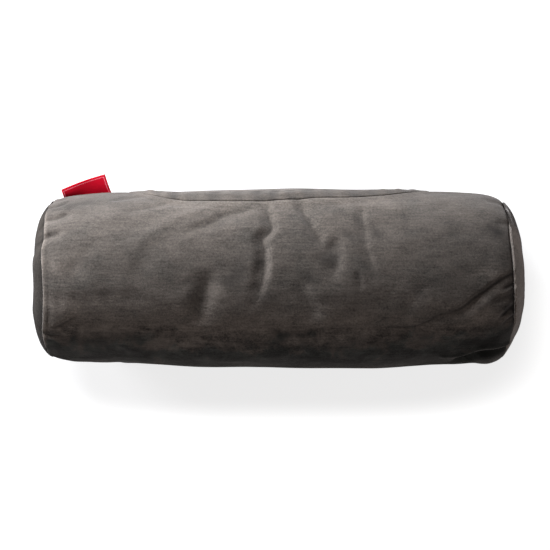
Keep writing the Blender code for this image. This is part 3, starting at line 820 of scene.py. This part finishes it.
def velvet_material(name, look, sheen):
    """Short-pile velvet: fine ribs along the cushion, a mottled pile with painted light and shade read from
    the mesh, and a soft sheen.
    """
    material, tree, shader, place = start_material(name)

    def noise(scale, size, detail=2.0, roughness=0.5, distortion=0.0):
        spread = add_node(tree, "ShaderNodeMapping", {"Vector": place, "Scale": scale})
        inputs = {
            "Vector": spread.outputs[0],
            "Scale": size,
            "Detail": detail,
            "Roughness": roughness,
            "Distortion": distortion,
        }
        made = add_node(tree, "ShaderNodeTexNoise", inputs)
        return maths(tree, "SUBTRACT", made.outputs[0], 0.5)

    ribs = noise((40.0, 430.0, 430.0), 1.0)
    pile = noise((1.0, 1.0, 1.0), 480.0, 3.0, 0.8)
    brushed = noise((0.6, 1.0, 1.0), 120.0, 4.0, 0.65, 0.3)
    cloud = noise((0.65, 1.0, 1.0), 34.0, 4.0, 0.6, 0.6)
    swell = noise((0.6, 1.0, 1.0), 30.0, 1.0, 0.4)
    patch = noise((1.3, 0.8, 0.8), 26.0, 5.0, 0.7, 0.8)
    nap_and_painted_light, wear = reading(tree, "nap_and_painted_light"), reading(tree, "wear")
    # Tone of the pile, times the painted light and shade held on the mesh: 1 is the plain colour
    blotches = maths(tree, "MULTIPLY", cloud, maths(tree, "MULTIPLY_ADD", wear, 2.0, 1.0))
    blotches = maths(tree, "MULTIPLY_ADD", patch, maths(tree, "MULTIPLY", wear, 2.2), blotches)
    streaks = maths(tree, "MULTIPLY", brushed, maths(tree, "MULTIPLY_ADD", wear, 1.2, 0.8))
    mottle = maths(tree, "MAXIMUM", maths(tree, "ADD", blotches, streaks), -0.45)
    weave = maths(tree, "MULTIPLY_ADD", ribs, 0.85, maths(tree, "MULTIPLY", pile, 2.2))
    tone = maths(tree, "MULTIPLY_ADD", mottle, look.mottle, maths(tree, "MULTIPLY", weave, look.grain))
    tone = maths(tree, "MAXIMUM", maths(tree, "MULTIPLY", maths(tree, "ADD", 1.0, tone), nap_and_painted_light), 0.15)
    # Worn places turn a little greener, and places with more painted light are painted warmer
    clouded = maths(tree, "MULTIPLY", cloud, 0.8)
    swing = maths(tree, "MULTIPLY_ADD", patch, maths(tree, "MULTIPLY", wear, 6.0), clouded)
    warmth = maths(tree, "SUBTRACT", maths(tree, "ADD", swing, 1.0), maths(tree, "MULTIPLY", wear, 0.5))
    warmth = maths(tree, "MULTIPLY_ADD", wear, maths(tree, "MULTIPLY_ADD", nap_and_painted_light, 1.4, -1.2), warmth)
    cool, warm = tuple(look.velvet_shade) + (1.0,), tuple(look.velvet_colour) + (1.0,)
    hue = add_node(tree, "ShaderNodeMix", data_type="RGBA")
    set_inputs(tree, hue, {0: warmth, 6: cool, 7: warm})
    relief = maths(tree, "MULTIPLY_ADD", swell, 9.0, maths(tree, "MULTIPLY", brushed, 0.8))
    relief = maths(tree, "MULTIPLY_ADD", ribs, 0.4, maths(tree, "MULTIPLY_ADD", pile, 0.8, relief))
    bump = add_node(tree, "ShaderNodeBump", {"Height": relief, "Strength": 1.0, "Distance": look.relief})
    finish_inputs = {
        "Base Color": vector_maths(tree, "SCALE", {0: hue.outputs[2], "Scale": tone}),
        "Normal": bump.outputs[0],
        "Roughness": 0.95,
        "Specular IOR Level": 0.1,
        "Sheen Weight": sheen,
        "Sheen Roughness": look.sheen_roughness,
        "Sheen Tint": (0.94, 0.90, 0.86, 1.0),
    }
    set_inputs(tree, shader, finish_inputs)
    return material


def tag_material(name, look, sheen):
    """Woven satin ribbon, with a firmer, lighter edge and a line of small stitches inside it."""
    material, tree, shader, place = start_material(name)
    threads = add_node(tree, "ShaderNodeMapping", {"Vector": place, "Scale": (2600.0, 900.0, 900.0)})
    inputs = {"Vector": threads.outputs[0], "Scale": 1.0, "Detail": 2.0}
    weave = add_node(tree, "ShaderNodeTexNoise", inputs).outputs[0]
    border = reading(tree, "border")
    selvedge = maths(tree, "COMPARE", border, 0.0, SELVEDGE)
    tone = maths(tree, "MULTIPLY_ADD", selvedge, 0.35, maths(tree, "MULTIPLY_ADD", weave, 0.5, 0.75))
    line = maths(tree, "COMPARE", border, STITCH_INSET, STITCH_HALF)
    dash = maths(tree, "SINE", maths(tree, "MULTIPLY", reading(tree, "along"), 2 * math.pi / STITCH_PITCH))
    stitch = maths(tree, "MULTIPLY", line, maths(tree, "GREATER_THAN", dash, -0.5))
    red = vector_maths(tree, "SCALE", {0: tuple(look.tag_colour), "Scale": tone})
    pale = tuple(look.stitch_colour) + (1.0,)
    paint = add_node(tree, "ShaderNodeMix", data_type="RGBA")
    set_inputs(tree, paint, {0: maths(tree, "MULTIPLY", stitch, 0.8), 6: red, 7: pale})
    bump = add_node(tree, "ShaderNodeBump", {"Height": weave, "Strength": 0.3, "Distance": 0.0003})
    finish_inputs = {
        "Base Color": paint.outputs[2],
        "Normal": bump.outputs[0],
        "Roughness": 0.5,
        "Specular IOR Level": 0.08,
        "Sheen Weight": sheen,
    }
    set_inputs(tree, shader, finish_inputs)
    return material


def paper_material(stage):
    """A pale backdrop with a painted glow, bright to the camera but without light of its own on the
    cushion.
    """
    material, tree, shader, place = start_material("backdrop_paper")
    # Painted brighter away from the cushion, so that only an oval round it shows its shade
    scale = (1 / SHADE_OVAL[0], 1 / SHADE_OVAL[1], 1.0)
    inputs = {"Vector": place, "Location": (0.0, SHADE_SHIFT, 0.0), "Scale": scale}
    flat = add_node(tree, "ShaderNodeMapping", inputs).outputs[0]
    square = vector_maths(tree, "MULTIPLY", {0: flat, 1: flat})
    away = vector_maths(tree, "DOT_PRODUCT", {0: square, 1: square}, "Value")
    inputs = {"Value": away, "From Min": 0.9, "From Max": 2.4, "To Min": stage.paper_glow, "To Max": 1.0}
    reach = add_node(tree, "ShaderNodeMapRange", inputs, interpolation_type="SMOOTHSTEP").outputs[0]
    seen = add_node(tree, "ShaderNodeLightPath").outputs["Is Camera Ray"]
    finish_inputs = {
        "Base Color": (0.30, 0.30, 0.30, 1.0),
        "Roughness": 0.95,
        "Emission Color": (1.0, 1.0, 1.0, 1.0),
        "Emission Strength": maths(tree, "MULTIPLY", seen, reach),
    }
    set_inputs(tree, shader, finish_inputs)
    return material


def add_lamp(name, power, colour):
    """A soft rectangular lamp of so many watts, placed and pointed as LAMPS says."""
    place, aim, size = LAMPS[name]
    light = bpy.data.lights.new(name, "AREA")
    light.shape = "RECTANGLE"
    light.size, light.size_y = size
    light.energy = power
    light.color = colour
    lamp = bpy.data.objects.new(name, light)
    lamp.location = place
    lamp.rotation_euler = (Vector(aim) - Vector(place)).to_track_quat("-Z", "Y").to_euler()
    bpy.context.scene.collection.objects.link(lamp)


def finish(name, look, sheen):
    """The material of that name, made when it is first asked for."""
    make = tag_material if name == "tag_satin" else velvet_material
    return bpy.data.materials.get(name) or make(name, look, sheen)


def painted_light_and_nap(x, angle):
    """Painted light and shade on the wrap, with some patches of the pile's own nap, as tones for arrays of
    places: 1 is plain.
    """
    x, angle = np.broadcast_arrays(np.asarray(x, float), angle)
    tone = smooth_read(*zip(*PAINTED_LIGHT_ROUND), angle) * smooth_read(*zip(*PAINTED_LIGHT_ALONG), x)
    # The back is painted darker towards the left end, as painted shade
    tone = tone * (1.0 - 0.42 * smooth_step(34.0, 60.0, angle) * smooth_step(-80.0, -180.0, x))
    # The rolled edge at the left end and the lap over the zip are painted lighter, as painted highlights
    tone = tone + 0.7 * np.exp(-(((x + END_X) / 1.8) ** 2)) * smooth_step(60.0, 48.0, angle)
    below = seam_angle(x) - angle
    tone = tone + 0.18 * placket_share(x) * smooth_step(9.0, 1.0, below) * smooth_step(-0.2, 0.2, below)
    # The cloth dips into shade at the right seam, most between the puckers on its front
    tone = tone * (1.0 - 0.45 * np.exp(-((END_X - x) / 2.2)) * smooth_step(40.0, 10.0, np.abs(angle + 10)))
    tone = tone * (1.0 - 0.75 * np.exp(-((END_X - x) / 5.0)) * smooth_step(42.0, 22.0, np.abs(angle + 38)))
    for at, turn, long, wide, change in NAP_AND_PAINTED_LIGHT_PATCHES:
        # The patches have uneven outlines, and those on the front end at the crease along it
        along = (x - at + 5.0 * np.sin(angle * 0.35 + at)) / long
        around = (angle - turn) * DEGREE + 3.0 * np.sin(x * 0.21 + turn) + 1.5 * np.sin(x * 0.47 + at)
        below_crease = turn < FRONT_CREASE[1] and at < FRONT_CREASE_END
        within = smooth_step(*FRONT_CREASE, angle) if below_crease else 1.0
        tone = tone + change * np.exp(-(along ** 2) - (around / wide) ** 2) * within
    # Creases are painted in shade, deeper near the right seam
    shade = 0.5 + 0.45 * np.exp(-((END_X - x) / 28.0))
    return tone * (1.0 - shade * crease_depth(x, angle))


def wear_share(angle):
    """How worn the velvet is: 1 along the front and 2 lower down, where it turns under."""
    front = smooth_step(-30.5, -33.5, angle) * smooth_step(-130.0, -95.0, angle)
    return front * (1.0 + smooth_step(-44.0, -62.0, angle))


class BolsterSizes(bpy.types.PropertyGroup):
    """How finely the wrap is made."""

    row_step: bpy.props.FloatProperty(
        name="Row step", description="Distance between the mesh's rows", default=0.0018, unit="LENGTH"
    )


class BolsterLook(bpy.types.PropertyGroup):
    """Colours and finishes."""

    velvet_colour: bpy.props.FloatVectorProperty(
        name="Velvet", description="Colour of the pile", subtype="COLOR", default=(0.098, 0.084, 0.072)
    )
    # The cool colour, mixed in at random, on worn places and where the painted light is low
    velvet_shade: bpy.props.FloatVectorProperty(
        name="Velvet in shade",
        description="Colour of the pile where it lies away",
        subtype="COLOR",
        default=(0.076, 0.082, 0.074),
    )
    sheen: bpy.props.FloatProperty(
        name="Sheen", description="How much the wrap's pile shines", subtype="FACTOR", default=0.28
    )
    # Low sheen for the left panel, a shaded copy of the velvet
    left_sheen: bpy.props.FloatProperty(
        name="Left sheen", description="Sheen of the left end panel", subtype="FACTOR", default=0.05
    )
    # High sheen for the right panel, a lit copy of the velvet
    right_sheen: bpy.props.FloatProperty(
        name="Right sheen", description="Sheen of the right end panel", subtype="FACTOR", default=0.8
    )
    # Painted shade over the whole left end panel
    left_painted_shade: bpy.props.FloatProperty(
        name="Left tone", description="Lightness of the left end panel", default=0.34
    )
    # Painted light over the whole right end panel
    right_painted_light: bpy.props.FloatProperty(
        name="Right tone", description="Lightness of the right end panel", default=1.9
    )
    sheen_roughness: bpy.props.FloatProperty(
        name="Sheen spread", description="How far the sheen spreads", subtype="FACTOR", default=0.6
    )
    mottle: bpy.props.FloatProperty(
        name="Mottle", description="Strength of the soft clouds in the pile", default=1.0
    )
    grain: bpy.props.FloatProperty(
        name="Grain", description="Strength of the ribs and the pile", default=1.0
    )
    relief: bpy.props.FloatProperty(
        name="Relief", description="Height of the brushed pile's unevenness", default=0.0006, unit="LENGTH"
    )
    tag_colour: bpy.props.FloatVectorProperty(
        name="Tag", description="Colour of the folded tag", subtype="COLOR", default=(0.41, 0.001, 0.012)
    )
    stitch_colour: bpy.props.FloatVectorProperty(
        name="Stitches", description="Colour of its stitches", subtype="COLOR", default=(0.75, 0.20, 0.26)
    )


class BolsterStage(bpy.types.PropertyGroup):
    """Lights, backdrop and camera."""

    key_power: bpy.props.FloatProperty(
        name="Window lamp", description="Power of the lamp beyond the back seam", default=12.0, unit="POWER"
    )
    fill_power: bpy.props.FloatProperty(
        name="Overhead lamp", description="Power of the lamp overhead", default=4.0, unit="POWER"
    )
    side_power: bpy.props.FloatProperty(
        name="Side lamp", description="Power of the low lamp on the left", default=9.0, unit="POWER"
    )
    right_power: bpy.props.FloatProperty(
        name="Right lamp", description="Power of the low lamp on the right", default=1.5, unit="POWER"
    )
    cool_light: bpy.props.FloatVectorProperty(
        name="Cool light",
        description="Colour of the window and side lamps",
        subtype="COLOR",
        default=(0.98, 1.0, 1.05),
    )
    warm_light: bpy.props.FloatVectorProperty(
        name="Warm light",
        description="Colour of the other lamps and the room",
        subtype="COLOR",
        default=(1.0, 0.93, 0.93),
    )
    room_light: bpy.props.FloatProperty(
        name="Room light", description="Brightness of the room all round", default=0.025
    )
    paper_glow: bpy.props.FloatProperty(
        name="Backdrop", description="How much the backdrop is lightened in the picture", default=0.76
    )
    camera_height: bpy.props.FloatProperty(
        name="Camera height",
        description="Height of the camera over the cushion's middle",
        default=1.75,
        unit="LENGTH",
    )
    frame_width: bpy.props.FloatProperty(
        name="Frame width",
        description="Width of the picture at the cushion's middle",
        default=0.61875,
        unit="LENGTH",
    )


class BOLSTER_OT_wrap(bpy.types.Operator):
    """Builds the wrap panel over its filling, with its folds, end lips and back seam."""

    bl_idname = "bolster.wrap"
    bl_label = "Wrap panel"

    def execute(self, context):
        sizes, look = context.scene.bolster_sizes, context.scene.bolster_look
        x = np.linspace(-END_X, END_X, round(2 * END_X * MM / sizes.row_step) + 1)
        left, right = PLACKET_ENDS
        x = np.unique(np.concatenate([x, [left - PLACKET_EASE, left, right, right + PLACKET_EASE]]))
        angles, rises = wrap_columns(x)
        velvet = finish("velvet_pile", look, look.sheen)
        rises = rises + swell_at(swelling(context, velvet), x[:, None], angles)
        body = cloth_points(x[:, None], angles, rises)
        left_rows, left_tones = wrap_end(body[0], angles[0], -1)
        right_rows, right_tones = wrap_end(body[-1], angles[-1], 1)
        points = np.concatenate(left_rows[::-1] + list(body) + right_rows)
        # Painted light and shade, with the pile's own nap, ring by ring
        tones = left_tones[::-1] + list(painted_light_and_nap(x[:, None], angles)) + right_tones
        fresh = np.zeros(body.shape[1])
        wears = [fresh] * len(left_rows) + list(wear_share(angles)) + [fresh] * len(right_rows)
        faces = grid_faces(len(tones), len(fresh))
        first_x = WRAP_INSET - END_X - DOME_RISE["left"]
        last_x = END_X + DOME_RISE["right"] - WRAP_INSET
        caps = end_caps(len(tones), len(fresh), first_x, last_x)
        pile = {"nap_and_painted_light": np.concatenate(tones), "wear": np.concatenate(wears)}
        wrap = make_piece("velvet_wrap", points, faces, caps, velvet, pile)
        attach(wrap, BODY)
        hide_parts("bolster_body")
        return {"FINISHED"}


class BOLSTER_OT_end_panels(bpy.types.Operator):
    """Builds the two round domed end panels."""

    bl_idname = "bolster.end_panels"
    bl_label = "End panels"

    def execute(self, context):
        look = context.scene.bolster_look
        angles = np.linspace(-180, 180, PANEL_COLUMNS, endpoint=False)
        # The left panel is a shaded copy of the velvet and the right one a lit copy, each with its own
        # sheen and painted tone
        finishes = {-1: (look.left_sheen, look.left_painted_shade), 1: (look.right_sheen, look.right_painted_light)}
        for side, (sheen, plain) in finishes.items():
            name = SIDES[side]
            rings = panel_rings(side, angles)
            middle = side * (END_X + DOME_RISE[name])
            faces = grid_faces(len(rings), len(angles))
            caps = end_caps(len(rings), len(angles), middle - side * PANEL_THICK, middle)
            velvet = finish("velvet_painted_light_end_" + name, look, sheen)
            pile = {"nap_and_painted_light": plain * panel_painted_light(side, angles, len(rings)).ravel()}
            panel = make_piece("end_velvet_" + name, np.concatenate(rings), faces, caps, velvet, pile)
            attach(panel, BODY)
            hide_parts("end_panel_" + name)
        return {"FINISHED"}


class BOLSTER_OT_zip_cover(bpy.types.Operator):
    """Builds the puckered strip over the zip."""

    bl_idname = "bolster.zip_cover"
    bl_label = "Zip cover"

    def execute(self, context):
        look = context.scene.bolster_look
        x = np.linspace(PLACKET_ENDS[0] + STRIP_INSET, PLACKET_ENDS[1] - STRIP_INSET, STRIP_ROWS)[:, None]
        across = np.linspace(0, 1, STRIP_COLUMNS)
        turn = STRIP_TURN[0] + across * (STRIP_TURN[1] - STRIP_TURN[0])
        # It arches over the zip, puckers along its stitching and lies flat at both ends
        arch = np.sin(np.pi * np.minimum(across * 1.2, 1.0))
        pucker = 0.75 * np.sin(x / 3.4 + 1.3 * np.sin(x / 21.0)) + 0.40 * np.sin(x / 8.3)
        end = smooth_step(0.0, STRIP_FADE, np.minimum(x - x[0], x[-1] - x))
        puffed = STRIP_RISE + STRIP_ARCH * arch + pucker * np.sin(np.pi * across)
        low = cloth_points(x, seam_angle(x) + turn, STRIP_FOOT)
        high = cloth_points(x, seam_angle(x) + turn, STRIP_FOOT + STRIP_THICK + end * puffed)
        rings = np.concatenate([low, high[:, ::-1]], 1)
        rows, columns = rings.shape[:2]
        velvet = finish("velvet_pile", look, look.sheen)
        # The puckers are painted in light and shade along the strip
        pile = {"nap_and_painted_light": np.tile(1.0 + STRIP_SHADE * pucker * end, columns).ravel()}
        faces = flat_tube_faces(rows, columns)
        strip = make_piece("velvet_zip_cover", rings.reshape(-1, 3), faces, [], velvet, pile)
        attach(strip, BODY)
        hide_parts("zip_placket")
        return {"FINISHED"}


class BOLSTER_OT_tag(bpy.types.Operator):
    """Builds the folded tag in the back seam."""

    bl_idname = "bolster.tag"
    bl_label = "Folded tag"

    def execute(self, context):
        look = context.scene.bolster_look
        along = np.linspace(0, 1, 60)[:, None]
        x = TAG_ROOT[0] + along * (TAG_ROOT[1] - TAG_ROOT[0])
        root = cloth_points(x, seam_angle(x), -TAG_SUNK)
        bow = TAG_BOW * np.sin(np.pi * along)
        lean_x, lean_y = math.cos(math.radians(TAG_TILT)), math.sin(math.radians(TAG_TILT))
        tip_x = TAG_TIP[0] + along * TAG_WIDTH * lean_x - bow * lean_y
        tip_y = TAG_TIP[1] + along * TAG_WIDTH * lean_y + bow * lean_x
        tip = np.stack([tip_x, tip_y, root[..., 2] + TAG_LIFT + bow], -1)
        out = tip - root
        reach = np.linalg.norm(out, axis=-1, keepdims=True)
        out = out / reach
        up = np.cross(np.gradient(tip, axis=0), out)
        up = up / np.linalg.norm(up, axis=-1, keepdims=True)
        path = np.array(ribbon_face(0.5 * TAG_GAP + TAG_THICK) + ribbon_face(0.5 * TAG_GAP)[::-1])
        share, high, beyond = (path[None, :, k : k + 1] for k in range(3))
        length = reach - 0.5 * TAG_GAP - TAG_THICK
        arch = np.sin(np.pi * share)
        puff = TAG_PUFF * arch + 0.35 * arch * np.sin(9 * along)[..., None]
        rings = root + out * (share * length + beyond) + up * (high + puff)
        rows, columns = rings.shape[:2]
        from_side = np.minimum(along, 1 - along) * TAG_WIDTH
        from_fold = (1 - share[0, :, 0])[None, :] * reach[:, 0]
        border = np.minimum(from_side, from_fold)
        run = np.broadcast_to(along * TAG_WIDTH, (rows, columns))
        marks = {"border": border.ravel(), "along": run.ravel()}
        satin = finish("tag_satin", look, 0.0)
        faces = flat_tube_faces(rows, columns)
        tag = make_piece("tag_ribbon", rings.reshape(-1, 3), faces, [], satin, marks)
        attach(tag, BODY)
        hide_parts("label_tag")
        return {"FINISHED"}


class BOLSTER_OT_stage(bpy.types.Operator):
    """Lays the floor and sets the lights and the camera straight above."""

    bl_idname = "bolster.stage"
    bl_label = "Stage"

    def execute(self, context):
        scene = context.scene
        stage = scene.bolster_stage
        data = bpy.data.meshes.new("floor")
        reach = FLOOR_REACH
        corners = [(-reach, -reach, 0), (reach, -reach, 0), (reach, reach, 0), (-reach, reach, 0)]
        data.from_pydata(corners, [], [(0, 1, 2, 3)])
        data.materials.append(paper_material(stage))
        floor = bpy.data.objects.new("floor", data)
        scene.collection.objects.link(floor)
        floor.location.z = -FLOOR_DROP
        cool, warm = tuple(stage.cool_light), tuple(stage.warm_light)
        add_lamp("window_lamp", stage.key_power, cool)
        add_lamp("side_lamp", stage.side_power, cool)
        add_lamp("right_lamp", stage.right_power, warm)
        add_lamp("overhead_lamp", stage.fill_power, warm)
        world = bpy.data.worlds.new("room")
        world.use_nodes = True
        background = world.node_tree.nodes["Background"]
        background.inputs["Color"].default_value = warm + (1.0,)
        background.inputs["Strength"].default_value = stage.room_light
        scene.world = world
        scene.view_settings.view_transform = "Standard"
        camera = bpy.data.cameras.new("camera")
        camera.sensor_fit = "HORIZONTAL"
        camera.angle = 2 * math.atan(0.5 * stage.frame_width / stage.camera_height)
        holder = bpy.data.objects.new("camera", camera)
        holder.location = (*VIEW_MIDDLE, CENTRE_HEIGHT * MM + stage.camera_height)
        scene.collection.objects.link(holder)
        scene.camera = holder
        return {"FINISHED"}


class BOLSTER_PT_panel(bpy.types.Panel):
    """The bolster's settings and steps."""

    bl_label = "Bolster"
    bl_space_type = "VIEW_3D"
    bl_region_type = "UI"
    bl_category = "Bolster"

    def draw(self, context):
        layout = self.layout
        for group in (context.scene.bolster_sizes, context.scene.bolster_look, context.scene.bolster_stage):
            for key in group.__annotations__:
                layout.prop(group, key)
        for step in STEPS:
            layout.operator(step.bl_idname)


STEPS = (BOLSTER_OT_stage, BOLSTER_OT_wrap, BOLSTER_OT_end_panels, BOLSTER_OT_zip_cover, BOLSTER_OT_tag)
CLASSES = (BolsterSizes, BolsterLook, BolsterStage) + STEPS + (BOLSTER_PT_panel,)


def register():
    for kind in CLASSES:
        bpy.utils.register_class(kind)
    bpy.types.Scene.bolster_sizes = bpy.props.PointerProperty(type=BolsterSizes)
    bpy.types.Scene.bolster_look = bpy.props.PointerProperty(type=BolsterLook)
    bpy.types.Scene.bolster_stage = bpy.props.PointerProperty(type=BolsterStage)


def unregister():
    del bpy.types.Scene.bolster_stage
    del bpy.types.Scene.bolster_look
    del bpy.types.Scene.bolster_sizes
    for kind in reversed(CLASSES):
        bpy.utils.unregister_class(kind)


def main():
    register()
    for step in STEPS:
        group, name = step.bl_idname.split(".")
        getattr(getattr(bpy.ops, group), name)()


if __name__ == "__main__":
    main()
